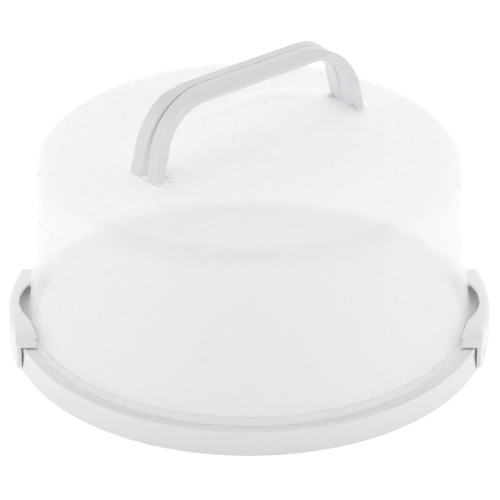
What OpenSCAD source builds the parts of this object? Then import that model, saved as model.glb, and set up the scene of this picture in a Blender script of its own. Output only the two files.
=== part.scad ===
// Round cake carrier: a flat tray, a see-through dome lid, two side latches and
// a carrying handle in two folding halves.
// Millimetres, +Z up. The origin is the centre of the face that the tray stands on.
// The latches lie on X. The handle spans the lid along a line turned about Z.

/* [Tray] */
// Radius of the tray at the bottom of its skirt
tray_r = 150; // [146:0.5:156]
// How far the skirt flares out from the rim to its bottom edge
skirt_flare = 1.6; // [1:0.1:2.1]
// Height of the ledge that the lid stands on
ledge_z = 15; // [14:0.5:19]
// Height of the rim bead above the ledge
rim_bead = 0.6; // [0.3:0.1:0.9]
// Wall of the tray
tray_wall = 2.2; // [1.8:0.1:2.8]
// Gap between the raised cake platform and the lid's wall
platform_gap = 2.3; // [1.5:0.1:12]
// Height of the platform above the ledge
platform_rise = 3; // [2:0.5:6]
// Number of ribs under the tray
tray_ribs = 12; // [6:1:24]

/* [Lid] */
// Step in from the tray's rim to the lid's foot band
foot_inset = 8.1; // [7.8:0.1:8.5]
// Height of the foot band
foot_h = 5.45; // [4:0.05:5.9]
// How far the foot band stands out from the lid's wall
foot_band = 1.9; // [1.7:0.1:2.5]
// How far the lid's wall leans in from the foot band to the shoulder
wall_lean = 3.8; // [2.4:0.2:8]
// Rounding radius of the shoulder
shoulder_round = 15; // [12:0.5:30]
// Height of the dome at its centre, under the raised bed
dome_z = 140.6; // [125:0.2:160]
// Radius of the sphere that the dome is cut from
dome_sphere = 800; // [650:10:1200]
// Wall of the lid
lid_wall = 1.9; // [1.6:0.1:2.4]

/* [Handle bed] */
// Height of the bed's ridge above the dome's centre
bed_rise = 2.2; // [1.6:0.1:3.4]
// Half of the straight run of the bed
bed_run = 31; // [24:0.5:33]
// Radius of the ridge at the bed's ends
ridge_r = 36; // [32:0.5:38]
// Fall of the bed's outer slope for each millimetre outwards
bed_fall = 0.3; // [0.27:0.01:0.34]
// Radius of the recess floor at its ends
recess_r = 26; // [18:0.5:29]
// Depth of the recess in the bed
recess_depth = 0.8; // [0.4:0.1:1]

/* [Handle] */
// Turn of the handle's span away from the line of the latches, degrees
span_turn = 39; // [0:1:90]
// Height of the grip's top above the pivots
grip_rise = 49.6; // [44:0.2:60]
// Thickness of the grip, seen from the front
bar_t = 8; // [6:0.2:9]
// Width of each half's bar
bar_w = 10.4; // [8:0.1:10.8]
// Distance from the middle to the centre of each outer corner
corner_out_x = 37.8; // [37:0.1:39]
// Outer radius of each corner
corner_out_r = 42; // [41:0.5:43]
// Distance from the middle to the centre of each inner corner
corner_in_x = 42.5; // [41.5:0.1:42.8]
// Inner radius of each corner
corner_in_r = 30; // [28:0.5:30]
// Splay of the legs' outer faces from upright, degrees
splay_out = 11; // [9:0.5:13]
// Splay of the legs' inner faces from upright, degrees
splay_in = 14.5; // [13:0.5:15]
// Distance from the middle plane to each pivot
pivot_n = 10.9; // [10.4:0.1:12.5]
// Height of the pivots below the dome's centre
pivot_drop = 0.8; // [0.4:0.1:1]
// Radius of the rounded foot round the pivot
knuckle_r = 2.4; // [2:0.1:2.6]
// Radius of the studs that the handle turns on
stud_r = 1.3; // [1:0.05:1.5]
// How far each half folds outwards from rest, degrees
fold_max = 75; // [30:1:76]

/* [Latch] */
// How far the latch plate stands out from the tray
latch_stand = 2.3; // [2.1:0.1:3]
// Wall of the latch plate
latch_wall = 2.4; // [1.8:0.1:2.5]
// Half of the latch's length along Y
latch_half = 48; // [42:0.5:54]
// Gap between the hook and the top of the foot band
hook_gap = 0.7; // [0.6:0.1:1.2]
// Rounding of the latch's upper corners
latch_round = 12; // [8:0.5:13]
// Overlap of the hook on the foot band
hook_lap = 0.9; // [0.5:0.1:1]
// Thickness of the hook's lip
hook_lip = 3.1; // [2.4:0.1:3.3]
// Depth of the finger scallop from the hook's edge
scallop = 6.3; // [4:0.1:7]
// Half of the scallop's length along Y
scallop_half = 27.5; // [20:0.5:30]
// Step in from the tray's bottom edge to the latch's axle
axle_in = 1; // [0.7:0.1:1.3]
// Radius of the latch's barrel
barrel_r = 2.4; // [2.2:0.1:2.6]
// Radius of the axle studs
axle_r = 1.4; // [1:0.05:1.6]

/* [Fits] */
// Running clearance of a stud in its bore, on the radius
run_gap = 0.06; // [0.03:0.01:0.09]
// Gap between pieces that move past each other
move_gap = 0.4; // [0.3:0.05:0.5]
// Gap under the lid's foot
seat_gap = 0.05; // [0.02:0.01:0.1]
// Gap between an open latch and the table
table_gap = 0.1; // [0.05:0.05:0.5]

/* [Hidden] */

fine = 180;
small = 48;
big = 400;
cut = 1;

white = [0.95, 0.95, 0.96];
clear_white = [0.93, 0.94, 0.95, 0.45];

// Where the latches turn
latch_r = tray_r + latch_stand;
plate_in = latch_r - latch_wall;
axle_x = tray_r - axle_in;
axle_z = latch_r - axle_x + table_gap;

// Tray, derived
rim_r = tray_r - skirt_flare;
rim_w = 1.5;
rim_top = ledge_z + rim_bead;
platform_z = ledge_z + platform_rise;
foot_r = rim_r - foot_inset;
wall_r = foot_r - foot_band;
shoulder_r = wall_r - wall_lean;
platform_r = wall_r - lid_wall - platform_gap;
guide_w = 0.6;
guide_r = foot_r + 2.3 + guide_w / 2;
guide_h = 0.3;
rib_w = 1.6;
rib_drop = 8;
rib_ring_r = [58, 104];
rib_ring_drop = 11;
pocket_depth = 1.7;
pocket_r = tray_r - pocket_depth;
pocket_gap = 1.3;
pocket_top = ledge_z - 1.5;
window_half = 25;
window_z = axle_z + 2 * barrel_r + 0.3;
lug_in = 8.9;
lug_w = 4;
lug_nose = barrel_r + 0.3;
lug_back = 8;
mouth_w = 1.6 * axle_r;

// Lid, derived
foot_z = ledge_z + seat_gap;
foot_top = foot_z + foot_h;
draft = (wall_r - shoulder_r) / (dome_z - foot_top - 2 * shoulder_round);
draft_a = atan(draft);
sphere_z = dome_z - dome_sphere;
arc_x = shoulder_r - shoulder_round * cos(draft_a);
arc_z = sphere_z + sqrt(pow(dome_sphere - shoulder_round, 2) - arc_x * arc_x);
arc_top = asin(arc_x / (dome_sphere - shoulder_round));
ridge_z = dome_z + bed_rise;
bed_depth = 12;
recess_slope = 8.5;
gate_r = 1.6;
gate_depth = 0.3;

// Handle, derived
pivot_z = dome_z - pivot_drop;
bar_out = knuckle_r;
bar_in = bar_w - bar_out;
lean_room = pivot_n - bar_in - move_gap / 2;
lean = asin(lean_room / grip_rise);
leg_lap = 1.5;
seam = 0.05;
grip_under = grip_rise - bar_t;
leg_in = leg_x(corner_in_x, corner_in_r, grip_under, splay_in, 0);
leg_out = leg_x(corner_out_x, corner_out_r, grip_rise, splay_out, 0);
stud_len = 3;
chamfer_w = 4.4;
chamfer_h = 6;

// Wells in the lid for the handle's feet
well_gap = 0.5;
boss_r = stud_r + 1.3;
boss_len = 4.4;
relief_start = boss_r + 0.4;
relief_run = 9;
relief_in = 2;
relief_over = 2;
well_in = leg_in - relief_start * tan(splay_in) - 0.1;
well_out = leg_out + knuckle_r * tan(splay_out) + well_gap;
well_half = pivot_n + knuckle_r + well_gap;
well_z = pivot_z - knuckle_r - 0.5;

// Latch, derived
plate_z = 1;
hook_r = foot_r - hook_lap;
hook_under = foot_top + hook_gap;
hook_z = hook_under + hook_lip;
latch_z = hook_z + 0.7;
hook_w = 2.8;
roof_under = latch_z - latch_wall;
cheek_z = rim_top + move_gap + 0.2;
cheek_w = 2.2;
latch_edge = 3.5;
bottom_round = 4;
barrel_half = lug_in - 0.3;
notch_out = lug_in + lug_w + move_gap;
notch_r = lug_nose + move_gap + 0.3;
scallop_edge = hook_r + scallop;
scallop_root = sqrt(hook_r * hook_r - scallop_half * scallop_half);
scallop_gap = scallop_edge - scallop_root;
scallop_r = (scallop_gap * scallop_gap + scallop_half * scallop_half) / (2 * scallop_gap);

// Where a leg's face is at height y, for a bail's corner at x of radius r under height top
function leg_x(x, r, top, splay, y) = x + r * cos(splay) + (top - r + r * sin(splay) - y) * tan(splay);

function arc(x, z, r, a0, a1, steps) =
    [for (i = [0 : steps]) let (a = a0 + (a1 - a0) * i / steps) [x + r * cos(a), z + r * sin(a)]];

// Profile of the lid, moved inwards by d
function lid_side(d) = concat(
    [[wall_r - d, foot_top]],
    arc(arc_x, arc_z, shoulder_round - d, draft_a, 90 - arc_top, 10),
    arc(0, sphere_z, dome_sphere - d, 90 - arc_top, 90, 12));

// Tray: platform, ledge and skirt in one turned shape
module tray_turned() {
    rotate_extrude($fn = fine) polygon([
        [0, platform_z], [platform_r - 2, platform_z], [platform_r, platform_z - 1.2],
        [platform_r + 1, ledge_z], [guide_r - guide_w / 2, ledge_z],
        [guide_r - guide_w / 4, ledge_z + guide_h], [guide_r + guide_w / 4, ledge_z + guide_h],
        [guide_r + guide_w / 2, ledge_z], [rim_r - rim_w, ledge_z], [rim_r - rim_w + 0.5, rim_top],
        [rim_r - 0.4, rim_top], [rim_r, rim_top - 0.5], [tray_r - 0.1, 0.8], [tray_r - 0.7, 0],
        [tray_r - tray_wall, 0], [rim_r - tray_wall, ledge_z - tray_wall],
        [platform_r - tray_wall, ledge_z - tray_wall],
        [platform_r - 2 * tray_wall, platform_z - tray_wall], [0, platform_z - tray_wall]]);
}

// Ribs and rings that stiffen the tray from below
module tray_ribbing() {
    intersection() {
        rotate_extrude($fn = fine) polygon([
            [0, platform_z - cut], [platform_r - 2 * tray_wall, platform_z - cut],
            [platform_r - tray_wall, ledge_z - cut], [rim_r - cut, ledge_z - cut],
            [rim_r - cut, ledge_z - rib_drop], [0, ledge_z - rib_drop]]);
        for (i = [0 : tray_ribs - 1])
            rotate([0, 0, (i + 0.5) * 360 / tray_ribs])
                translate([rib_ring_r[0], -rib_w / 2, 0]) cube([tray_r, rib_w, platform_z]);
    }
    for (r = rib_ring_r)
        rotate_extrude($fn = fine)
            translate([r, platform_z - cut - rib_ring_drop]) square([rib_w, rib_ring_drop]);
}

// One bearing lug of the latch, on the +X side, at the +Y end of the barrel
module tray_lug() {
    translate([axle_x, lug_in + lug_w, axle_z]) rotate([90, 0, 0])
        cylinder(r = lug_nose, h = lug_w, $fn = small);
    translate([axle_x - lug_back, lug_in, axle_z - lug_nose])
        cube([lug_back - 0.6, lug_w, ledge_z - cut - axle_z + lug_nose]);
    translate([axle_x - lug_back, lug_in, axle_z - lug_nose])
        cube([lug_back, lug_w, 2 * lug_nose]);
}

module lug_bore() {
    translate([axle_x, lug_in + lug_w + cut, axle_z]) rotate([90, 0, 0])
        cylinder(r = axle_r + run_gap, h = lug_w + 2 * cut, $fn = small);
    translate([axle_x - mouth_w / 2, lug_in - cut, axle_z - lug_nose - cut])
        cube([mouth_w, lug_w + 2 * cut, lug_nose + cut]);
}

// Two lugs for one latch, mirrored about the latch's middle
module both_ends() {
    for (m = [0, 1]) mirror([0, m, 0]) children();
}

module both_sides() {
    for (m = [0, 1]) mirror([m, 0, 0]) children();
}

// Slice of the tray's rim next to one latch
module latch_bay(half) {
    translate([0, -half, -cut]) cube([big, 2 * half, big]);
}

// Backing behind the pocket that each latch lies in
module pocket_wall() {
    intersection() {
        latch_bay(latch_half + pocket_gap + tray_wall);
        rotate_extrude($fn = fine)
            translate([pocket_r - tray_wall, 0]) square([tray_wall + 0.6, ledge_z - cut]);
    }
}

module pocket_cut() {
    intersection() {
        latch_bay(latch_half + pocket_gap);
        rotate_extrude($fn = fine)
            translate([pocket_r, -cut]) square([tray_r, pocket_top + cut]);
    }
    translate([pocket_r - 3 * tray_wall, -window_half, -cut])
        cube([tray_r, 2 * window_half, window_z + cut]);
}

module tray() {
    color(white) difference() {
        union() {
            difference() {
                union() {
                    tray_turned();
                    tray_ribbing();
                    both_sides() pocket_wall();
                }
                both_sides() pocket_cut();
            }
            both_sides() both_ends() tray_lug();
        }
        both_sides() both_ends() lug_bore();
    }
}

// Stadium with sloping sides: radius r0 at z0, r1 at z1, straight run of half length run
module stadium(run, r0, z0, r1, z1) {
    for (s = [-1, 1])
        translate([s * run, 0, z0]) cylinder(r1 = r0, r2 = r1, h = z1 - z0, $fn = fine);
    translate([-run, 0, 0]) rotate([90, 0, 90]) linear_extrude(2 * run)
        polygon([[-r0, z0], [r0, z0], [r1, z1], [-r1, z1]]);
}

// Raised bed of the handle, lowered by d
module bed(d) {
    stadium(bed_run, ridge_r + bed_depth / bed_fall * 0.6, ridge_z - bed_depth * 0.6 - d,
        ridge_r, ridge_z - d);
}

// Bearing boss for one stud of one half, at the end of the span on the +X side
module stud_boss() {
    translate([well_in - boss_len, pivot_n, pivot_z]) rotate([0, 90, 0])
        cylinder(r = boss_r, h = boss_len + 0.01, $fn = small);
}

module stud_bore() {
    translate([well_in - stud_len - 2 * move_gap, pivot_n, pivot_z]) rotate([0, 90, 0])
        cylinder(r = stud_r + run_gap, h = stud_len + 2 * move_gap + cut, $fn = small);
}

// Room for one leg when its half is folded right down
module leg_relief() {
    translate([0, pivot_n, pivot_z]) rotate([lean - fold_max - relief_over, 0, 0]) {
        translate([well_in - relief_in, -knuckle_r, relief_start])
            cube([well_out - well_in + relief_in - 1, 2 * knuckle_r + 0.3, relief_run]);
        translate([well_in + 0.05, -knuckle_r, 0])
            cube([well_out - well_in - 1.05, 2 * knuckle_r + 0.3, relief_run]);
    }
}

module well_cut() {
    translate([well_in, -well_half, well_z]) cube([well_out - well_in, 2 * well_half, big]);
}

module well_pad() {
    translate([well_in - boss_len, -well_half - lid_wall, well_z - lid_wall])
        cube([well_out - well_in + boss_len + lid_wall, 2 * (well_half + lid_wall), 2 * lid_wall]);
}

// Solid that the lid's outer skin encloses
module lid_outer() {
    rotate_extrude($fn = fine) polygon(concat(
        [[0, foot_z], [foot_r - 0.5, foot_z], [foot_r, foot_z + 0.5], [foot_r, foot_top - 0.5],
         [foot_r - 0.5, foot_top]],
        lid_side(0)));
    turned_span() intersection() {
        bed(0);
        cylinder(r = shoulder_r - shoulder_round, h = big, $fn = fine);
    }
}

// Hollow inside the lid
module lid_inner() {
    rotate_extrude($fn = fine) polygon(concat(
        [[0, foot_z - cut], [wall_r - lid_wall, foot_z - cut]],
        lid_side(lid_wall)));
    turned_span() difference() {
        bed(lid_wall);
        stadium(bed_run, recess_r, ridge_z - recess_depth - lid_wall,
            recess_r + 1.2 * recess_slope, ridge_z - lid_wall + 0.2 * recess_depth);
    }
}

module turned_span() {
    rotate([0, 0, span_turn]) children();
}

module lid() {
    color(clear_white) difference() {
        union() {
            difference() {
                lid_outer();
                lid_inner();
            }
            turned_span() both_sides() {
                intersection() {
                    well_pad();
                    rotate([0, 0, -span_turn]) lid_skin_room();
                }
                both_ends() stud_boss();
            }
        }
        turned_span() {
            stadium(bed_run, recess_r, ridge_z - recess_depth, recess_r + 2 * recess_slope,
                ridge_z + recess_depth);
            both_sides() {
                well_cut();
                both_ends() stud_bore();
                both_ends() leg_relief();
            }
        }
        translate([0, 0, ridge_z - recess_depth - gate_depth])
            cylinder(r = gate_r, h = cut, $fn = small);
    }
}

// Room under the lid's outer skin, which keeps the pads from standing through it
module lid_skin_room() {
    lid_outer();
}

// Outline under a bail whose top is at height top: corners and splayed sides, x along the span
module bail_fill(x, r, top, splay) {
    lap = leg_lap + seam * tan(splay);
    translate([-x, 0]) square([2 * x, top]);
    both_sides() translate([x, top - r]) circle(r = r, $fn = fine);
    polygon([for (c = [[-1, -knuckle_r - cut], [1, -knuckle_r - cut],
        [1, top - r + r * sin(splay) + lap], [-1, top - r + r * sin(splay) + lap]])
        [c[0] * (leg_x(x, r, top, splay, c[1]) - seam), c[1]]]);
}

// Outline of the handle's bar
module bar_outline() {
    difference() {
        bail_fill(corner_out_x, corner_out_r, grip_rise, splay_out);
        bail_fill(corner_in_x, corner_in_r, grip_under, splay_in);
        translate([-corner_in_x, -2 * cut - knuckle_r]) square([2 * corner_in_x, 2 * knuckle_r]);
    }
}

// Section of the bar's foot, x away from the middle plane and y up
module foot_section() {
    circle(r = knuckle_r, $fn = small);
    translate([-bar_in, -knuckle_r]) square([bar_in, 2 * knuckle_r]);
    translate([-bar_in, 0]) square([bar_w, big]);
}

// Slope along the outer top edge of the grip, which runs out on the corners
module grip_slope() {
    translate([-big / 2, bar_out, grip_rise - chamfer_h]) rotate([90, 0, 90]) linear_extrude(big)
        polygon([[chamfer_w, -chamfer_h], [-2 * chamfer_w, 2 * chamfer_h], [big, 2 * chamfer_h]]);
}

// One half of the handle, on the +Y side of the span
module handle_half() {
    translate([0, pivot_n, pivot_z]) rotate([lean, 0, 0]) {
        difference() {
            intersection() {
                translate([0, bar_out, 0]) rotate([90, 0, 0]) linear_extrude(bar_w) bar_outline();
                translate([-big / 2, 0, 0]) rotate([90, 0, 90]) linear_extrude(big) foot_section();
            }
            grip_slope();
        }
        both_sides() translate([leg_in - stud_len, 0, 0]) rotate([0, 90, 0])
            cylinder(r = stud_r, h = stud_len + bar_t / 2, $fn = small);
    }
}

module handle_rear() {
    color(white) turned_span() handle_half();
}

module handle_front() {
    color(white) turned_span() mirror([0, 1, 0]) handle_half();
}

// Front view of the latch, rounded at its corners, from z = bottom up
module latch_prism(half, top, bottom, round_top, round_bottom) {
    rotate([90, 0, 90]) linear_extrude(big) {
        translate([-half + round_top, bottom + round_bottom])
            square([2 * (half - round_top), top - bottom - round_bottom]);
        translate([-half, bottom + round_bottom])
            square([2 * half, top - bottom - round_bottom - round_top]);
        translate([-half + round_bottom, bottom]) square([2 * (half - round_bottom), big / 40]);
        for (s = [-1, 1]) {
            translate([s * (half - round_top), top - round_top]) circle(r = round_top, $fn = small);
            translate([s * (half - round_bottom), bottom + round_bottom])
                circle(r = round_bottom, $fn = small);
        }
    }
}

module latch_shell() {
    difference() {
        intersection() {
            rotate_extrude($fn = fine) polygon(concat(
                [[hook_r, hook_under], [hook_r, hook_z - 0.5], [hook_r + 0.5, hook_z]],
                [[latch_r - latch_edge, latch_z]],
                arc(latch_r - latch_edge, latch_z - latch_edge, latch_edge, 80, 0, 8),
                [[latch_r, plate_z + 1], [latch_r - 1, plate_z], [hook_r, plate_z]]));
            latch_prism(latch_half, latch_z + cut / 10, plate_z, latch_round, bottom_round);
        }
        intersection() {
            rotate_extrude($fn = fine) polygon([
                [hook_r - cut, cheek_z], [plate_in, cheek_z], [plate_in, roof_under],
                [hook_r + hook_w, roof_under], [hook_r + hook_w, hook_under],
                [hook_r - cut, hook_under]]);
            latch_prism(latch_half - cheek_w, roof_under, -cut, latch_round - cheek_w, 1);
        }
        rotate_extrude($fn = fine)
            translate([hook_r - cut, -cut]) square([plate_in - hook_r + cut, cheek_z + cut + 0.01]);
        rotate_extrude($fn = fine)
            translate([hook_r - cut, -cut]) square([foot_r + move_gap - hook_r + cut, hook_under + cut]);
        translate([scallop_edge - scallop_r, 0, cheek_z]) cylinder(r = scallop_r, h = big, $fn = fine);
    }
}

// One latch, on the +X side
module latch() {
    difference() {
        latch_shell();
        both_ends() {
            translate([axle_x, notch_out, axle_z]) rotate([90, 0, 0])
                cylinder(r = notch_r, h = notch_out - barrel_half, $fn = small);
            translate([axle_x - notch_r, barrel_half, -cut])
                cube([3 * notch_r, notch_out - barrel_half, axle_z + cut]);
            translate([axle_x, barrel_half, axle_z])
                cube([3 * notch_r, notch_out - barrel_half, notch_r]);
        }
    }
    translate([axle_x, barrel_half, axle_z]) rotate([90, 0, 0])
        cylinder(r = barrel_r, h = 2 * barrel_half, $fn = small);
    translate([axle_x, lug_in + lug_w, axle_z]) rotate([90, 0, 0])
        cylinder(r = axle_r, h = 2 * (lug_in + lug_w), $fn = small);
}

module latch_right() {
    color(white) latch();
}

module latch_left() {
    color(white) mirror([1, 0, 0]) latch();
}

tray();
lid();
latch_left();
latch_right();
handle_front();
handle_rear();
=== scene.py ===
"""Dresses the cake carrier: frosted dome lid, white tray, two side latches and a two-part handle.

The sizes repeat those of the part's source, in millimetres, in the same frame: the origin is the
centre of the face that the tray stands on, +X is the right latch and +Z is up.
"""

import logging
import math
from dataclasses import dataclass, field
from enum import Enum
from typing import Callable, Iterable, Sequence

import bmesh
import bpy
from mathutils import Matrix, Vector


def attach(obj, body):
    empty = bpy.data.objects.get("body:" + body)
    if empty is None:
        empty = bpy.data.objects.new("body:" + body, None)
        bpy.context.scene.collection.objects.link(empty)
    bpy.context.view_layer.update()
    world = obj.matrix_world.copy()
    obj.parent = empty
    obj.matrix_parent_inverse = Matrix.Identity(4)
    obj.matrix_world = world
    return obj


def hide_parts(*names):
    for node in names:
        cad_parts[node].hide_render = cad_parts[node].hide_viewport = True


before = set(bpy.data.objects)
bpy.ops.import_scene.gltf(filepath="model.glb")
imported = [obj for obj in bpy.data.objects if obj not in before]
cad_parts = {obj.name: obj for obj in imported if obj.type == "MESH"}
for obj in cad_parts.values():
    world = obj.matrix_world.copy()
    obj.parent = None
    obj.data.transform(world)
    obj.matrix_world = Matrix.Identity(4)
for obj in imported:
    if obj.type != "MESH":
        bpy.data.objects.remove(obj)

LOG = logging.getLogger("cake_carrier")
MM = 0.001
SPAN_TURN = math.radians(39.0)

# Noise scales of the moulded plastic and the paper, in cycles a metre
CLOUD_SCALE = 22.0
PATCH_SCALE = 160.0
GRAIN_SCALE = 2100.0
SINK_SCALE = 34.0
FIBRE_SCALE = 900.0


class Side(Enum):
    """Which way a paired piece faces: the sign of its own axis."""

    NEAR = -1
    FAR = 1


class Cut(Enum):
    """What one solid does to another."""

    ADD = "UNION"
    TAKE = "DIFFERENCE"


# ---- colours and nodes


def linear(hex_colour: str, alpha: float = 1.0) -> tuple[float, float, float, float]:
    """Turns a screen colour into the linear colour that a shader takes.

    Args:
        hex_colour: six hexadecimal digits, red first.
        alpha: the colour's opacity.

    Returns:
        Red, green, blue and alpha.
    """
    parts = [int(hex_colour[i : i + 2], 16) / 255 for i in (0, 2, 4)]
    red, green, blue = (c / 12.92 if c <= 0.04045 else ((c + 0.055) / 1.055) ** 2.4 for c in parts)
    return red, green, blue, alpha


def add_node(tree: bpy.types.NodeTree, kind: str, **settings: object) -> bpy.types.Node:
    """Adds a node, with its settings and links.

    Args:
        tree: the tree that gets the node.
        kind: the node's class name.
        settings: attributes by name, and inputs by name or number with `i_` in front. An output
            socket given as an input's value becomes a link.

    Returns:
        The new node.
    """
    node = tree.nodes.new(kind)
    inputs = {k: v for k, v in settings.items() if k.startswith("i_")}
    for name, value in settings.items():
        if name not in inputs:
            setattr(node, name, value)
    for name, value in inputs.items():
        key = name[2:]
        socket = node.inputs[int(key) if key.isdigit() else key.replace("_", " ")]
        if isinstance(value, bpy.types.NodeSocket):
            tree.links.new(value, socket)
        else:
            socket.default_value = value
    return node


@dataclass(frozen=True)
class MouldedPlastic:
    """Injection-moulded polypropylene with a fine satin texture from the mould.

    The colour drifts faintly over tens of millimetres, as filled plastic does, the gloss varies in
    patches of a few millimetres, and the mould's spark texture is a grain of about half a
    millimetre over slow sink waves. A plastic with a clear share is a thin wall that lets light
    through, and with a grain depth of 0 it is plain.
    """

    name: str
    colour: str
    drift_colour: str
    rough_low: float
    rough_high: float
    grain_depth_mm: float = 0.012
    wave_depth_mm: float = 0.06
    sheen_through: float = 0.0
    glow_radius_mm: float = 0.0
    clear_share: float = 0.0
    cloudy_share: float = 0.0

    def material(self) -> bpy.types.Material:
        """Builds the node material.

        Returns:
            The finished material.
        """
        made = bpy.data.materials.new(self.name)
        made.use_nodes = True
        tree = made.node_tree
        tree.nodes.clear()
        place = add_node(tree, "ShaderNodeTexCoord").outputs["Object"]
        cloud = add_node(
            tree, "ShaderNodeTexNoise", i_Vector=place, i_Scale=CLOUD_SCALE, i_Detail=3.0,
            i_Roughness=0.55,
        )
        tint = add_node(
            tree, "ShaderNodeMix", data_type="RGBA", i_0=cloud.outputs["Fac"],
            i_6=linear(self.colour), i_7=linear(self.drift_colour),
        )
        patch = add_node(
            tree, "ShaderNodeTexNoise", i_Vector=place, i_Scale=PATCH_SCALE, i_Detail=4.0,
            i_Roughness=0.6,
        )
        gloss = add_node(
            tree, "ShaderNodeMapRange", i_Value=patch.outputs["Fac"], i_1=0.3, i_2=0.7,
            i_3=self.rough_low, i_4=self.rough_high,
        )
        skin = add_node(
            tree, "ShaderNodeBsdfPrincipled", i_Base_Color=tint.outputs[2],
            i_Roughness=gloss.outputs["Result"], i_IOR=1.49,
        )
        if self.grain_depth_mm:
            tree.links.new(self.relief(tree, place), skin.inputs["Normal"])
        self.tune(skin)
        face = skin.outputs["BSDF"]
        if self.clear_share:
            face = self.sheet(tree, face, tint.outputs[2])
        add_node(tree, "ShaderNodeOutputMaterial", i_Surface=face)
        return made

    def relief(
        self, tree: bpy.types.NodeTree, place: bpy.types.NodeSocket
    ) -> bpy.types.NodeSocket:
        """Adds the mould's grain over the slow waves that the cooling plastic sinks into.

        Args:
            tree: the material's tree.
            place: the position on the object.

        Returns:
            The changed normal.
        """
        grain = add_node(
            tree, "ShaderNodeTexNoise", i_Vector=place, i_Scale=GRAIN_SCALE, i_Detail=2.0,
            i_Roughness=0.5,
        )
        sink = add_node(
            tree, "ShaderNodeTexNoise", i_Vector=place, i_Scale=SINK_SCALE, i_Detail=1.0,
            i_Roughness=0.4,
        )
        waves = add_node(
            tree, "ShaderNodeBump", i_Strength=0.25, i_Distance=self.wave_depth_mm * MM,
            i_Height=sink.outputs["Fac"],
        )
        bumps = add_node(
            tree, "ShaderNodeBump", i_Strength=0.5, i_Distance=self.grain_depth_mm * MM,
            i_Height=grain.outputs["Fac"], i_Normal=waves.outputs["Normal"],
        )
        return bumps.outputs["Normal"]

    def sheet(
        self, tree: bpy.types.NodeTree, face: bpy.types.NodeSocket, tint: bpy.types.NodeSocket
    ) -> bpy.types.NodeSocket:
        """Lets light through a thin wall: part of it scattered, part of it straight.

        Light is scattered where it enters the wall, and leaves it unchanged.

        Args:
            tree: the material's tree.
            face: the shader of the skin.
            tint: the plastic's colour.

        Returns:
            The shader of the wall.
        """
        cloudy = add_node(tree, "ShaderNodeBsdfTranslucent", i_Color=tint)
        clear = add_node(tree, "ShaderNodeBsdfTransparent")
        milky = add_node(
            tree, "ShaderNodeMixShader", i_0=self.cloudy_share, i_1=face, i_2=cloudy.outputs[0]
        )
        thin = add_node(
            tree, "ShaderNodeMixShader", i_0=self.clear_share, i_1=milky.outputs[0],
            i_2=clear.outputs[0],
        )
        leaving = add_node(tree, "ShaderNodeNewGeometry").outputs["Backfacing"]
        wall = add_node(
            tree, "ShaderNodeMixShader", i_0=leaving, i_1=thin.outputs[0], i_2=clear.outputs[0]
        )
        return wall.outputs[0]

    def tune(self, skin: bpy.types.Node) -> None:
        """Sets the even values that let light into the plastic.

        Args:
            skin: the shader node.
        """
        skin.inputs["Specular IOR Level"].default_value = 0.4
        if self.glow_radius_mm:
            skin.inputs["Subsurface Weight"].default_value = self.sheen_through
            skin.inputs["Subsurface Radius"].default_value = (1.0, 0.95, 0.9)
            skin.inputs["Subsurface Scale"].default_value = self.glow_radius_mm * MM


WHITE_PP = MouldedPlastic(
    "white_polypropylene", "F8F8F9", "F6F6F7", 0.34, 0.46, sheen_through=0.25, glow_radius_mm=2.0
)
# The handle is the same white plastic as the tray. Its colour is made greyer here to paint the
# shade on the bail's front faces.
HANDLE_PP_SHADED = MouldedPlastic(
    "handle_polypropylene_greyed_for_shade", "E7E7E9", "E4E4E6", 0.30, 0.42, sheen_through=0.15, glow_radius_mm=1.5
)
FROSTED_PP = MouldedPlastic(
    "frosted_polypropylene", "F9FAFB", "F8F9FA", 0.27, 0.29, grain_depth_mm=0.0,
    clear_share=0.32, cloudy_share=0.35,
)


# ---- shaping with bmesh operators


@dataclass
class Pen:
    """Draws an outline in the XZ plane, one line or arc at a time, in millimetres."""

    start: tuple[float, float]
    mesh: bmesh.types.BMesh = field(default_factory=bmesh.new)

    def __post_init__(self) -> None:
        """Puts the pen down at its start."""
        self.first = self.mesh.verts.new((self.start[0], 0.0, self.start[1]))
        self.tip = self.first

    def line(self, *points: tuple[float, float]) -> "Pen":
        """Draws straight lines to each point in turn.

        Args:
            points: where the lines end.

        Returns:
            The pen.
        """
        for x, z in points:
            grown = bmesh.ops.extrude_vert_indiv(self.mesh, verts=[self.tip])
            self.tip = grown["verts"][0]
            self.tip.co = Vector((x, 0.0, z))
        return self

    def arc(self, centre: tuple[float, float], degrees: float, steps: int) -> "Pen":
        """Turns the pen about a centre.

        Args:
            centre: the middle of the arc.
            degrees: how far, positive from +X towards +Z.
            steps: how many lines the arc is drawn with.

        Returns:
            The pen.
        """
        turned = bmesh.ops.spin(
            self.mesh, geom=[self.tip], cent=(centre[0], 0.0, centre[1]), axis=(0, -1, 0),
            angle=math.radians(degrees), steps=steps, use_duplicate=False,
        )
        self.tip = next(g for g in turned["geom_last"] if isinstance(g, bmesh.types.BMVert))
        return self

    def close(self) -> bmesh.types.BMesh:
        """Joins the pen's tip to its start.

        Returns:
            The mesh with the closed outline.
        """
        if (self.tip.co - self.first.co).length < 1e-4:
            bmesh.ops.pointmerge(self.mesh, verts=[self.tip, self.first], merge_co=self.first.co)
        else:
            self.mesh.edges.new((self.tip, self.first))
        return self.mesh


def lathe(mesh: bmesh.types.BMesh, steps: int) -> bmesh.types.BMesh:
    """Turns an outline once round the Z axis.

    Args:
        mesh: the outline.
        steps: faces round the turn.

    Returns:
        The closed body.
    """
    bmesh.ops.spin(
        mesh, geom=mesh.verts[:] + mesh.edges[:], cent=(0, 0, 0), axis=(0, 0, 1),
        angle=2 * math.pi, steps=steps, use_merge=True, use_duplicate=False,
    )
    bmesh.ops.remove_doubles(mesh, verts=mesh.verts[:], dist=0.004)
    bmesh.ops.recalc_face_normals(mesh, faces=mesh.faces[:])
    return mesh


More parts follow.
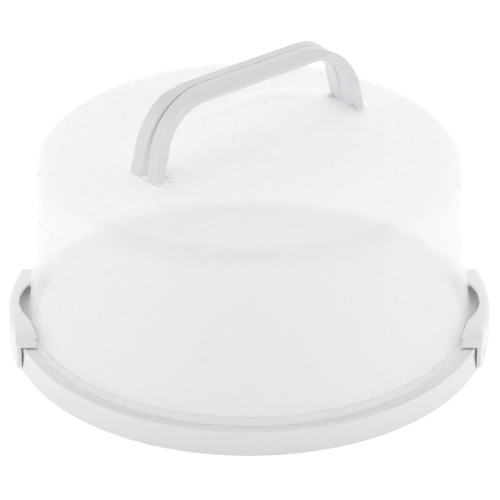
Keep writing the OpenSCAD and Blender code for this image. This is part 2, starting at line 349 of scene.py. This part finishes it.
def block(low: Sequence[float], high: Sequence[float], soft: float = 0.0) -> bmesh.types.BMesh:
    """Makes a block with rounded edges.

    Args:
        low: its lowest corner, in millimetres.
        high: its highest corner.
        soft: the radius of its edges.

    Returns:
        The block.
    """
    mesh = bmesh.new()
    middle = [(a + b) / 2 for a, b in zip(low, high)]
    size = [b - a for a, b in zip(low, high)]
    place = Matrix.Translation(middle) @ Matrix.Diagonal((*size, 1.0))
    bmesh.ops.create_cube(mesh, size=1.0, matrix=place)
    if soft:
        bmesh.ops.bevel(
            mesh, geom=mesh.edges[:], offset=soft, segments=3, affect="EDGES", profile=0.5,
            material=-1,
        )
    return mesh


def rod(
    start: Sequence[float], length: float, radius: float, soft: float = 0.0
) -> bmesh.types.BMesh:
    """Makes a round rod along +X.

    Args:
        start: the middle of its first end, in millimetres.
        length: its length.
        radius: its radius.
        soft: the radius of the edges of its ends.

    Returns:
        The rod.
    """
    mesh = bmesh.new()
    place = Matrix.Translation((start[0] + length / 2, start[1], start[2])) @ Matrix.Rotation(
        math.pi / 2, 4, "Y"
    )
    bmesh.ops.create_cone(
        mesh, cap_ends=True, segments=32, radius1=radius, radius2=radius, depth=length,
        matrix=place,
    )
    if soft:
        rims = [e for e in mesh.edges if len(e.link_faces) == 2 and e.calc_face_angle(0.0) > 1.0]
        bmesh.ops.bevel(
            mesh, geom=rims, offset=soft, segments=3, affect="EDGES", profile=0.5, material=-1
        )
    return mesh


def merged(meshes: Iterable[bmesh.types.BMesh]) -> bmesh.types.BMesh:
    """Puts several meshes into one.

    Args:
        meshes: the meshes, which are used up.

    Returns:
        The one mesh.
    """
    whole = bmesh.new()
    for mesh in meshes:
        part = bpy.data.meshes.new("part")
        mesh.to_mesh(part)
        mesh.free()
        whole.from_mesh(part)
        bpy.data.meshes.remove(part)
    return whole


def turned(mesh: bmesh.types.BMesh, place: Matrix) -> bmesh.types.BMesh:
    """Moves a mesh.

    Args:
        mesh: the mesh.
        place: where it goes, in millimetres.

    Returns:
        The same mesh.
    """
    bmesh.ops.transform(mesh, matrix=place, verts=mesh.verts[:])
    if place.determinant() < 0:
        bmesh.ops.reverse_faces(mesh, faces=mesh.faces[:])
    return mesh


def both_ways(make: Callable[[], bmesh.types.BMesh], *axes: int) -> bmesh.types.BMesh:
    """Makes a mesh and its mirror images.

    Args:
        make: makes one copy.
        axes: the axes that it is mirrored along, 0 to 2.

    Returns:
        All the copies in one mesh.
    """
    places = [Matrix.Identity(4)]
    for axis in axes:
        flip = Matrix.Identity(4)
        flip[axis][axis] = -1.0
        places += [flip @ p for p in places]
    return merged(turned(make(), p) for p in places)


def to_object(name: str, mesh: bmesh.types.BMesh) -> bpy.types.Object:
    """Makes an object of a mesh that was drawn in millimetres.

    Args:
        name: the object's name.
        mesh: the mesh, which is used up.

    Returns:
        The object, at the origin.
    """
    bmesh.ops.scale(mesh, vec=(MM, MM, MM), verts=mesh.verts[:])
    data = bpy.data.meshes.new(name)
    mesh.to_mesh(data)
    mesh.free()
    made = bpy.data.objects.new(name, data)
    bpy.context.scene.collection.objects.link(made)
    return made


def settle(piece: bpy.types.Object) -> None:
    """Makes an object's modifiers part of its mesh.

    Args:
        piece: the object.
    """
    bpy.context.view_layer.update()
    shaped = piece.evaluated_get(bpy.context.evaluated_depsgraph_get())
    fresh = bpy.data.meshes.new_from_object(shaped)
    stale, piece.data = piece.data, fresh
    fresh.name = piece.name
    piece.modifiers.clear()
    bpy.data.meshes.remove(stale)


def carve(piece: bpy.types.Object, how: Cut, tool: bmesh.types.BMesh) -> None:
    """Adds a solid to a piece, or takes it away.

    Args:
        piece: the piece.
        how: what the tool does.
        tool: the solid, in millimetres, which is used up.
    """
    blade = to_object("blade", tool)
    step = piece.modifiers.new("carve", "BOOLEAN")
    step.operation = how.value
    step.solver = "MANIFOLD"
    step.object = blade
    settle(piece)
    data = blade.data
    bpy.data.objects.remove(blade)
    bpy.data.meshes.remove(data)


def smooth(piece: bpy.types.Object, degrees: float) -> None:
    """Shades a piece smooth, but for its sharp edges.

    Args:
        piece: the piece.
        degrees: the least angle of a sharp edge.
    """
    mesh = bmesh.new()
    mesh.from_mesh(piece.data)
    limit = math.radians(degrees)
    for face in mesh.faces:
        face.smooth = True
    for edge in mesh.edges:
        edge.smooth = edge.calc_face_angle(0.0) < limit
    mesh.to_mesh(piece.data)
    mesh.free()
    even = piece.modifiers.new("even_shading", "WEIGHTED_NORMAL")
    even.keep_sharp = True
    even.weight = 80


def dressed(
    piece: bpy.types.Object, body: str, node: str, finish: MouldedPlastic
) -> None:
    """Gives a piece its finish, and puts it in the place of its solid.

    Args:
        piece: the piece.
        body: the body that it rides on.
        node: the solid that it stands for.
        finish: its finish.
    """
    piece.data.materials.clear()
    piece.data.materials.append(finish.material())
    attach(piece, body)
    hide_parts(node)
    LOG.info("%s: %d faces on body %s", piece.name, len(piece.data.polygons), body)


# ---- the handle


@dataclass(frozen=True)
class BailSizes:
    """The sizes that the handle's halves share with their seats in the lid."""

    grip_rise: float = 49.6
    bar_t: float = 8.0
    bar_w: float = 10.4
    out_x: float = 37.8
    out_r: float = 42.0
    in_x: float = 42.5
    in_r: float = 30.0
    splay_out: float = 11.0
    splay_in: float = 14.5
    pivot_n: float = 10.9
    pivot_z: float = 139.8
    knuckle_r: float = 2.4
    stud_r: float = 1.3
    lean: float = 3.12
    fold_room: float = 77.0

    def leg(self, x: float, r: float, top: float, splay: float, height: float) -> float:
        """Distance from the middle to a leg's face.

        Args:
            x: where the corner above the face has its centre.
            r: the corner's radius.
            top: the height of the bar above the corner.
            splay: the face's lean, in degrees.
            height: the height above the pivots.

        Returns:
            The distance in millimetres.
        """
        lean = math.radians(splay)
        return x + r * math.cos(lean) + (top - r + r * math.sin(lean) - height) * math.tan(lean)

    def leg_in(self, height: float) -> float:
        """Distance from the middle to a leg's inner face, at a height."""
        return self.leg(self.in_x, self.in_r, self.grip_rise - self.bar_t, self.splay_in, height)

    def leg_out(self, height: float) -> float:
        """Distance from the middle to a leg's outer face, at a height."""
        return self.leg(self.out_x, self.out_r, self.grip_rise, self.splay_out, height)


@dataclass
class HandleHalf:
    """One half of the carrying handle: a flat bar bent into a bail, with a stud at each foot."""

    side: Side
    sizes: BailSizes = field(default_factory=BailSizes)
    slope_w: float = 4.4
    slope_h: float = 6.0
    soft: float = 0.6
    hard_edge: float = 17.0
    steps_in: int = 28
    steps_out: int = 32
    stud_reach: float = 3.0
    stud_len: float = 7.0

    def outline(self) -> bmesh.types.BMesh:
        """Draws the bail from the front.

        Returns:
            The closed outline.
        """
        s = self.sizes
        low = -s.knuckle_r
        top, under = s.grip_rise, s.grip_rise - s.bar_t
        inner_z, outer_z = under - s.in_r, top - s.out_r
        bend_in, bend_out = 90 - s.splay_in, 90 - s.splay_out
        rise_in = inner_z + s.in_r * math.sin(math.radians(s.splay_in))
        rise_out = outer_z + s.out_r * math.sin(math.radians(s.splay_out))
        pen = Pen((s.leg_in(low), low))
        pen.line((s.leg_in(rise_in), rise_in)).arc((s.in_x, inner_z), bend_in, self.steps_in)
        pen.line((-s.in_x, under)).arc((-s.in_x, inner_z), bend_in, self.steps_in)
        pen.line((-s.leg_in(low), low), (-s.leg_out(low), low), (-s.leg_out(rise_out), rise_out))
        pen.arc((-s.out_x, outer_z), -bend_out, self.steps_out).line((s.out_x, top))
        pen.arc((s.out_x, outer_z), -bend_out, self.steps_out).line((s.leg_out(low), low))
        return pen.close()

    def bar(self) -> bmesh.types.BMesh:
        """Gives the outline its width.

        Returns:
            The bail with sharp edges.
        """
        mesh = self.outline()
        face = bmesh.ops.contextual_create(mesh, geom=mesh.edges[:])["faces"]
        grown = bmesh.ops.extrude_face_region(mesh, geom=face)["geom"]
        width = self.sizes.bar_w
        bmesh.ops.translate(
            mesh, vec=(0, width, 0), verts=[g for g in grown if isinstance(g, bmesh.types.BMVert)]
        )
        bmesh.ops.translate(mesh, vec=(0, self.sizes.knuckle_r - width, 0), verts=mesh.verts[:])
        bmesh.ops.recalc_face_normals(mesh, faces=mesh.faces[:])
        return mesh

    def shape(self, mesh: bmesh.types.BMesh) -> None:
        """Rounds the feet, cuts the slope of the grip and softens every edge.

        Args:
            mesh: the bail with sharp edges.
        """
        s = self.sizes
        heel = Vector((0, s.knuckle_r, -s.knuckle_r))
        heels = [
            e for e in mesh.edges
            if all(abs(v.co.y - heel.y) < 1e-3 and abs(v.co.z - heel.z) < 1e-3 for v in e.verts)
        ]
        bmesh.ops.bevel(
            mesh, geom=heels, offset=s.knuckle_r - 0.02, segments=8, affect="EDGES", profile=0.5,
            material=-1,
        )
        bmesh.ops.bisect_plane(
            mesh, geom=mesh.verts[:] + mesh.edges[:] + mesh.faces[:], dist=1e-4,
            plane_co=(0, s.knuckle_r, s.grip_rise - self.slope_h),
            plane_no=Vector((0, self.slope_h, self.slope_w)).normalized(), clear_outer=True,
        )
        bmesh.ops.edgeloop_fill(mesh, edges=[e for e in mesh.edges if e.is_boundary])
        bmesh.ops.recalc_face_normals(mesh, faces=mesh.faces[:])
        limit = math.radians(self.hard_edge)
        hard = [e for e in mesh.edges if e.calc_face_angle(0.0) > limit]
        bmesh.ops.bevel(
            mesh, geom=hard, offset=self.soft, segments=3, affect="EDGES", profile=0.5,
            material=-1, clamp_overlap=True,
        )
        bmesh.ops.remove_doubles(mesh, verts=mesh.verts[:], dist=0.002)

    def build(self) -> bpy.types.Object:
        """Builds the half.

        Returns:
            The half's object.
        """
        s = self.sizes
        mesh = self.bar()
        self.shape(mesh)
        name = "handle_rear_bail" if self.side is Side.FAR else "handle_front_bail"
        tilt = Matrix.Translation((0, s.pivot_n, s.pivot_z)) @ Matrix.Rotation(
            math.radians(s.lean), 4, "X"
        )
        mirror = Matrix.Diagonal((1, self.side.value, 1, 1))
        place = Matrix.Rotation(SPAN_TURN, 4, "Z") @ mirror @ tilt
        piece = to_object(name, turned(mesh, place))
        tip = (s.leg_in(0) - self.stud_reach, 0, 0)
        studs = both_ways(lambda: rod(tip, self.stud_len, s.stud_r, soft=0.25), 0)
        carve(piece, Cut.ADD, turned(studs, place))
        smooth(piece, degrees=40.0)
        return piece

    def dress(self, piece: bpy.types.Object) -> None:
        """Gives the half its finish and its place."""
        node = "handle_rear" if self.side is Side.FAR else "handle_front"
        dressed(piece, node, node, HANDLE_PP_SHADED)


# ---- the lid


@dataclass
class Lid:
    """The frosted dome lid with its foot band and the raised bed that the handle stands in."""

    foot_r: float = 140.3
    foot_z: float = 15.05
    foot_top: float = 20.5
    foot_chamfer: float = 0.5
    sole_round: float = 0.6
    crest_round: float = 0.7
    wall_r: float = 138.4
    shoulder_r: float = 134.6
    shoulder_round: float = 15.0
    dome_z: float = 140.6
    dome_sphere: float = 800.0
    wall: float = 1.9
    bed_rise: float = 2.2
    bed_run: float = 31.0
    ridge_r: float = 36.0
    bed_fall: float = 0.3
    bed_reach: float = 112.0
    bed_low: float = 120.0
    bed_blend: float = 0.25
    crown_blend: float = 0.22
    recess_r: float = 26.0
    recess_slope: float = 8.5
    recess_depth: float = 0.8
    bail: BailSizes = field(default_factory=BailSizes)
    boss_r: float = 2.6
    boss_len: float = 4.4
    bore_r: float = 1.36
    bore_len: float = 3.8
    well_gap: float = 0.5
    well_floor: float = 136.9
    well_top: float = 160.0
    relief_start: float = 3.0
    relief_end: float = 12.0
    relief_in: float = 2.0
    relief_side: float = 2.75
    set_back: float = 0.05
    gate_r: float = 1.6
    gate_len: float = 1.5
    gate_depth: float = 0.3
    turns: int = 288

    @property
    def well_in(self) -> float:
        """Distance from the middle to a pocket's inner wall."""
        return self.bail.leg_in(self.relief_start) - 0.1

    @property
    def well_out(self) -> float:
        """Distance from the middle to a pocket's outer wall."""
        return self.bail.leg_out(-self.bail.knuckle_r) + self.well_gap

    @property
    def well_half(self) -> float:
        """Half of a pocket's length across the span."""
        return self.bail.pivot_n + self.bail.knuckle_r + self.well_gap

    @property
    def draft(self) -> float:
        """The lean of the wall, in degrees."""
        run = self.dome_z - self.foot_top - 2 * self.shoulder_round
        return math.degrees(math.atan((self.wall_r - self.shoulder_r) / run))

    def dome(self, r: float) -> float:
        """Height of the dome's skin at a radius, without the bed."""
        return self.dome_z - self.dome_sphere + math.sqrt(self.dome_sphere**2 - r * r)

    def bed(self, t: float, n: float) -> float:
        """Height of the bed over a point of the span's plane.

        Args:
            t: distance along the span.
            n: distance across it.

        Returns:
            The height in millimetres, far below the dome away from the bed.
        """
        out = math.hypot(max(abs(t) - self.bed_run, 0.0), n)
        top = self.dome_z + self.bed_rise
        slope = top - self.bed_fall * (out - self.ridge_r)
        crown = ease_least(slope, top, self.crown_blend)
        dip = (out - self.recess_r) / self.recess_slope
        share = min(max(dip, 0.0), 1.0)
        return crown - self.recess_depth * (1 - share * share * (3 - 2 * share))

    def outline(self) -> bmesh.types.BMesh:
        """Draws the section of the lid, foot band and all.

        Returns:
            The closed outline.
        """
        lean = self.draft
        arc_x = self.shoulder_r - self.shoulder_round * math.cos(math.radians(lean))
        ball_z = self.dome_z - self.dome_sphere
        arc_z = ball_z + math.sqrt((self.dome_sphere - self.shoulder_round) ** 2 - arc_x**2)
        tip = math.degrees(math.asin(arc_x / (self.dome_sphere - self.shoulder_round)))
        side = (self.wall_r - self.shoulder_r) / (arc_z - self.foot_top)
        inner, nick = self.wall_r - self.wall, self.foot_chamfer
        sole, crest = self.sole_round, self.crest_round
        pen = Pen((inner, self.foot_z + nick))
        pen.line((inner + nick, self.foot_z), (self.foot_r - sole, self.foot_z))
        pen.arc((self.foot_r - sole, self.foot_z + sole), 90, 5)
        pen.line((self.foot_r, self.foot_top - crest))
        pen.arc((self.foot_r - crest, self.foot_top - crest), 90, 5)
        pen.line((self.wall_r + 0.4, self.foot_top + 0.1), (self.wall_r, self.foot_top + crest))
        for share in (0.25, 0.5, 0.75):
            z = self.foot_top + share * (arc_z - self.foot_top)
            pen.line((self.wall_r - side * (z - self.foot_top), z))
        reach = self.shoulder_round
        low = math.radians(lean)
        pen.line((arc_x + reach * math.cos(low), arc_z + reach * math.sin(low)))
        pen.arc((arc_x, arc_z), 90 - tip - lean, 18)
        pen.arc((0.0, ball_z), tip, 76)
        pen.line((0.0, self.dome_z - self.wall))
        pen.arc((0.0, ball_z), -tip, 76)
        pen.arc((arc_x, arc_z), -(90 - tip - lean), 14)
        return pen.close()

    def raise_bed(self, mesh: bmesh.types.BMesh) -> None:
        """Lifts the dome's two skins into the bed.

        Args:
            mesh: the turned lid.
        """
        cos, sin = math.cos(SPAN_TURN), math.sin(SPAN_TURN)
        for vert in mesh.verts:
            x, y, z = vert.co
            r = math.hypot(x, y)
            if r > self.bed_reach or z < self.bed_low:
                continue
            skin = 0.0 if z > self.dome(r) - self.wall / 2 else self.wall
            bed = self.bed(x * cos + y * sin, y * cos - x * sin)
            vert.co.z = ease_most(self.dome(r), bed, self.bed_blend) - skin

    def wells(self) -> bmesh.types.BMesh:
        """The pockets for the handle's feet."""
        return self.across(
            both_ways(
                lambda: block(
                    (self.well_in, -self.well_half, self.well_floor),
                    (self.well_out, self.well_half, self.well_top), soft=0.5,
                ), 0,
            )
        )

    def across(self, mesh: bmesh.types.BMesh) -> bmesh.types.BMesh:
        """Turns a mesh from the span's own frame into the lid's."""
        return turned(mesh, Matrix.Rotation(SPAN_TURN, 4, "Z"))

    def pads(self) -> bmesh.types.BMesh:
        """The blocks under the dome that the pockets are sunk in."""
        wall = self.wall
        return self.across(
            both_ways(
                lambda: block(
                    (self.well_in - self.boss_len, -self.well_half - wall, self.well_floor - wall),
                    (self.well_out + wall, self.well_half + wall, self.well_floor + 1.0),
                    soft=0.4,
                ), 0,
            )
        )

    def bosses(self) -> bmesh.types.BMesh:
        """The bearings of the handle's studs."""
        seat = (self.well_in - self.boss_len, self.bail.pivot_n, self.bail.pivot_z)
        return self.across(
            both_ways(lambda: rod(seat, self.boss_len + 0.02, self.boss_r, soft=0.4), 0, 1)
        )

    def bores(self) -> bmesh.types.BMesh:
        """The blind holes of the handle's studs."""
        seat = (self.well_in - self.bore_len, self.bail.pivot_n, self.bail.pivot_z)
        return self.across(both_ways(lambda: rod(seat, self.bore_len + 1.0, self.bore_r), 0, 1))

    def gate(self) -> bmesh.types.BMesh:
        """The round mark that the mould's gate leaves in the middle of the recess."""
        low = self.dome_z + self.bed_rise - self.recess_depth - self.gate_depth
        return turned(
            rod((0.0, 0.0, 0.0), self.gate_len, self.gate_r, soft=0.1),
            Matrix.Translation((0, 0, low)) @ Matrix.Rotation(-math.pi / 2, 4, "Y"),
        )

    def reliefs(self) -> list[bmesh.types.BMesh]:
        """The room that each leg takes when it is folded right down.

        Returns:
            Two sets of blocks: one for the legs, and one nearer the studs, set back a little so
            that no two faces lie in one plane.
        """
        fold = Matrix.Translation((0, self.bail.pivot_n, self.bail.pivot_z)) @ Matrix.Rotation(
            math.radians(self.bail.lean - self.bail.fold_room), 4, "X"
        )
        reach, low, side = self.well_out - 1.0, -self.bail.knuckle_r, self.relief_side
        start, end, back = self.relief_start, self.relief_end, self.set_back
        leg = ((self.well_in - self.relief_in, low, start), (reach, side, end))
        foot = ((self.well_in + back, low, 0.0), (reach, side - back, end - start))
        rooms = (
            lambda: turned(block(*leg, soft=0.3), fold),
            lambda: turned(block(*foot, soft=0.2), fold),
        )
        return [self.across(both_ways(room, 0, 1)) for room in rooms]

    def build(self) -> bpy.types.Object:
        """Builds the lid.

        Returns:
            The lid's object.
        """
        mesh = lathe(self.outline(), self.turns)
        self.raise_bed(mesh)
        piece = to_object("lid_frosted", mesh)
        carve(piece, Cut.ADD, self.pads())
        carve(piece, Cut.ADD, self.bosses())
        carve(piece, Cut.TAKE, self.wells())
        for relief in self.reliefs():
            carve(piece, Cut.TAKE, relief)
        carve(piece, Cut.TAKE, self.bores())
        carve(piece, Cut.TAKE, self.gate())
        smooth(piece, degrees=32.0)
        return piece

    def dress(self, piece: bpy.types.Object) -> None:
        """Gives the lid its finish and its place."""
        dressed(piece, "lid", "lid", FROSTED_PP)


def ease_least(a: float, b: float, width: float) -> float:
    """The lesser of two heights, blended where they are close."""
    h = max(width - abs(a - b), 0.0) / width
    return min(a, b) - h * h * width / 4


def ease_most(a: float, b: float, width: float) -> float:
    """The greater of two heights, blended where they are close."""
    return -ease_least(-a, -b, width)


# ---- the tray and the latches


@dataclass
class RoundedSolid:
    """A moulded piece whose shape is its solid's, with every sharp edge rounded."""

    node: str
    name: str
    slot: str
    finish: MouldedPlastic
    edge: float
    limit: float = 34.0

    def build(self) -> bpy.types.Object:
        """Copies the solid's skin, joins it up and rounds its edges.

        Returns:
            The piece's object.
        """
        mesh = bmesh.new()
        mesh.from_mesh(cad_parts[self.node].data)
        bmesh.ops.scale(mesh, vec=(1 / MM,) * 3, verts=mesh.verts[:])
        bmesh.ops.remove_doubles(mesh, verts=mesh.verts[:], dist=0.003)
        bmesh.ops.dissolve_limit(
            mesh, angle_limit=math.radians(0.6), verts=mesh.verts[:], edges=mesh.edges[:]
        )
        piece = to_object(self.name, mesh)
        step = piece.modifiers.new("edges", "BEVEL")
        step.width = self.edge * MM
        step.segments = 2
        step.limit_method = "ANGLE"
        step.angle_limit = math.radians(self.limit)
        step.use_clamp_overlap = True
        step.harden_normals = False
        settle(piece)
        smooth(piece, self.limit)
        return piece

    def dress(self, piece: bpy.types.Object) -> None:
        """Gives the piece its finish and its place."""
        dressed(piece, self.node, self.node, self.finish)


# ---- the studio


@dataclass(frozen=True)
class Lamp:
    """A soft square box that points at the object: its middle and side in metres, its power."""

    name: str
    place: tuple[float, float, float]
    side: float
    watts: float


LAMPS = (
    Lamp("top_box", (0.0, 0.35, 1.6), 1.5, 3.5),
    Lamp("left_box", (-1.7, -0.1, 0.8), 1.0, 5.5),
    Lamp("right_box", (1.7, -0.1, 0.8), 1.0, 5.5),
    Lamp("front_strip", (0.0, -1.8, 0.3), 1.0, 9.5),
)


@dataclass
class Studio:
    """The plain white sweep, the soft lamps and the camera."""

    distance: float = 2.5
    elevation: float = 28.605
    aim_z: float = 0.0598
    lens: float = 286.4
    shift_x: float = 0.0015
    lamp_aim_z: float = 0.08
    fill: float = 0.98
    front_fill: float = 0.05
    front_way: tuple[float, float, float] = (0.0, -0.7, 0.714)
    front_start: float = 0.3
    front_full: float = 0.95
    floor_lift: float = 0.42

    def camera(self) -> None:
        """Sets the camera at the photograph's angle."""
        data = bpy.data.cameras.new("camera")
        data.lens, data.sensor_width = self.lens, 36.0
        data.shift_x = self.shift_x
        data.clip_end = 50.0
        made = bpy.data.objects.new("camera", data)
        up = math.radians(self.elevation)
        back = Vector((0, -math.cos(up), math.sin(up)))
        made.location = Vector((0, 0, self.aim_z)) + back * self.distance
        made.rotation_euler = (-back).to_track_quat("-Z", "Y").to_euler()
        bpy.context.scene.collection.objects.link(made)
        bpy.context.scene.camera = made

    def hang(self, lamp: Lamp) -> None:
        """Hangs one lamp.

        Args:
            lamp: the lamp.
        """
        data = bpy.data.lights.new(lamp.name, "AREA")
        data.shape, data.size, data.energy = "SQUARE", lamp.side, lamp.watts
        made = bpy.data.objects.new(lamp.name, data)
        made.location = lamp.place
        aim = Vector((0, 0, self.lamp_aim_z)) - Vector(lamp.place)
        made.rotation_euler = aim.to_track_quat("-Z", "Y").to_euler()
        bpy.context.scene.collection.objects.link(made)

    def seen(self, tree: bpy.types.NodeTree) -> bpy.types.NodeSocket:
        """Makes 1 for rays that show the background: from the camera, mirrored or let through.

        Args:
            tree: the tree that asks.

        Returns:
            The socket with the answer.
        """
        path = add_node(tree, "ShaderNodeLightPath")
        straight = add_node(
            tree, "ShaderNodeMath", operation="MAXIMUM", i_0=path.outputs["Is Camera Ray"],
            i_1=path.outputs["Is Transmission Ray"],
        )
        bounced = add_node(
            tree, "ShaderNodeMath", operation="MAXIMUM", i_0=straight.outputs[0],
            i_1=path.outputs["Is Glossy Ray"],
        )
        return bounced.outputs[0]

    def world(self) -> None:
        """Fills the room with white where it is seen, and with an even glow elsewhere."""
        made = bpy.data.worlds.new("white_room")
        made.use_nodes = True
        tree = made.node_tree
        tree.nodes.clear()
        way = add_node(tree, "ShaderNodeTexCoord").outputs["Generated"]
        lobe = add_node(
            tree, "ShaderNodeVectorMath", operation="DOT_PRODUCT", i_0=way, i_1=self.front_way
        )
        room = add_node(
            tree, "ShaderNodeMapRange", interpolation_type="SMOOTHSTEP",
            i_Value=lobe.outputs["Value"], i_1=self.front_start, i_2=self.front_full,
            i_3=self.fill, i_4=self.front_fill,
        )
        power = add_node(
            tree, "ShaderNodeMapRange", i_Value=self.seen(tree), i_3=room.outputs["Result"], i_4=1.0
        )
        glow = add_node(
            tree, "ShaderNodeBackground", i_Color=(1, 1, 1, 1), i_Strength=power.outputs["Result"]
        )
        add_node(tree, "ShaderNodeOutputWorld", i_Surface=glow.outputs[0])
        bpy.context.scene.world = made

    def floor(self) -> None:
        """Lays the white floor, which keeps the object's shadow."""
        mesh = bmesh.new()
        bmesh.ops.create_circle(mesh, cap_ends=True, segments=96, radius=6000.0)
        made = to_object("floor", mesh)
        skin = bpy.data.materials.new("white_paper")
        skin.use_nodes = True
        tree = skin.node_tree
        tree.nodes.clear()
        place = add_node(tree, "ShaderNodeTexCoord").outputs["Object"]
        fibre = add_node(
            tree, "ShaderNodeTexNoise", i_Vector=place, i_Scale=FIBRE_SCALE, i_Detail=3.0
        )
        bump = add_node(
            tree, "ShaderNodeBump", i_Strength=0.1, i_Distance=0.02 * MM,
            i_Height=fibre.outputs["Fac"],
        )
        paper = add_node(
            tree, "ShaderNodeBsdfDiffuse", i_Color=linear("FAFAFA"),
            i_Normal=bump.outputs["Normal"],
        )
        lift = add_node(
            tree, "ShaderNodeMath", operation="MULTIPLY", i_0=self.seen(tree), i_1=self.floor_lift
        )
        glow = add_node(
            tree, "ShaderNodeEmission", i_Color=(1, 1, 1, 1), i_Strength=lift.outputs[0]
        )
        both = add_node(tree, "ShaderNodeAddShader", i_0=paper.outputs[0], i_1=glow.outputs[0])
        add_node(tree, "ShaderNodeOutputMaterial", i_Surface=both.outputs[0])
        made.data.materials.append(skin)

    def build(self) -> None:
        """Builds the studio."""
        bpy.context.scene.view_settings.view_transform = "Standard"
        self.camera()
        self.world()
        self.floor()
        for lamp in LAMPS:
            self.hang(lamp)


def main() -> None:
    """Builds the studio and every piece, in order."""
    logging.basicConfig(level=logging.INFO, format="%(message)s")
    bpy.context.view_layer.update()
    Studio().build()
    pieces = [
        Lid(),
        HandleHalf(Side.NEAR),
        HandleHalf(Side.FAR),
        RoundedSolid("tray", "tray_moulding", "tray", WHITE_PP, 0.25),
        RoundedSolid("latch_left", "latch_left_moulding", "latch", WHITE_PP, 1.0),
        RoundedSolid("latch_right", "latch_right_moulding", "latch", WHITE_PP, 1.0),
    ]
    for piece in pieces:
        piece.dress(piece.build())


if __name__ == "__main__":
    main()
